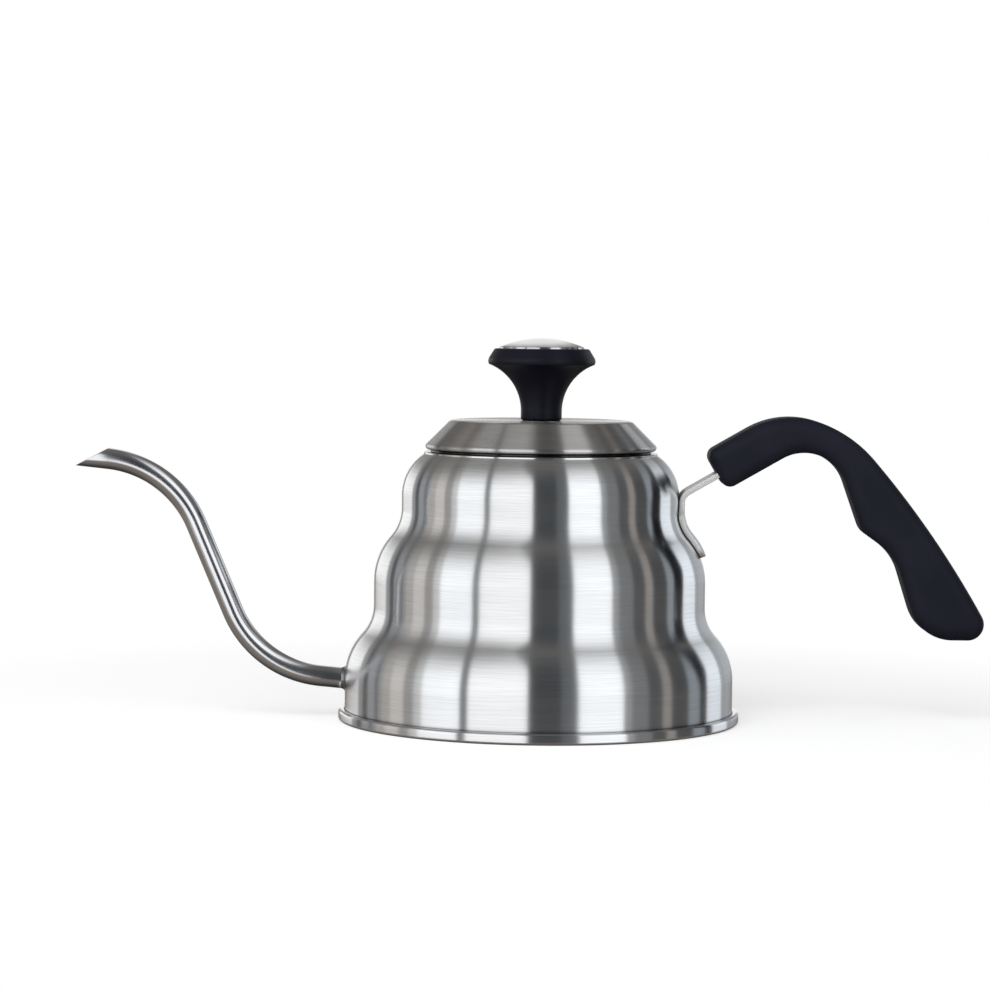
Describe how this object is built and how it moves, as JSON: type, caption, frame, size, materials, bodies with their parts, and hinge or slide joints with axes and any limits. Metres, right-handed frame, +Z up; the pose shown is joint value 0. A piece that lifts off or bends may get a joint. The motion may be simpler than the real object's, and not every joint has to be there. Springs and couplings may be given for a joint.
{
  "type": "gooseneck kettle",
  "caption": "Gooseneck pouring kettle with a stepped round steel body, a thin bent spout, a fixed black handle and a lift-off lid with a flared knob.",
  "frame": {"origin": "centre of the resting face, on the body's axis", "axes": "+Z up along the body's axis, -X towards the spout, +X towards the handle"},
  "size_m": [0.3261, 0.144, 0.1372],
  "materials": {
    "body_steel": "fine brushing around the axis",
    "base_steel": "satin",
    "polished_steel": "polished",
    "bracket_steel": "satin",
    "lid_steel": "fine brushing around the axis",
    "fastener_steel": "plain",
    "insert_brass": "turned",
    "grip_plastic": "fine matt grain",
    "knob_plastic": "smooth moulded"
  },
  "bodies": {
    "kettle": {"body_shell": "body_steel", "base_plate": "base_steel", "spout_tube": "polished_steel", "spout_weld": "base_steel", "handle_bracket": "bracket_steel", "handle_grip": "grip_plastic", "handle_insert": "insert_brass", "handle_washer": "fastener_steel", "handle_screw": "fastener_steel"},
    "lid": {"lid_shell": "lid_steel", "lid_skirt": "lid_steel", "knob": "knob_plastic", "knob_cap": "polished_steel", "knob_insert": "insert_brass", "knob_flat_washer": "fastener_steel", "knob_lock_washer": "fastener_steel", "knob_screw": "fastener_steel"}
  },
  "joints": [
    {"name": "lid_lift", "type": "slide", "parent": "kettle", "child": "lid", "axis": [0, 0, 1], "range_m": [0, 0.06]}
  ]
}
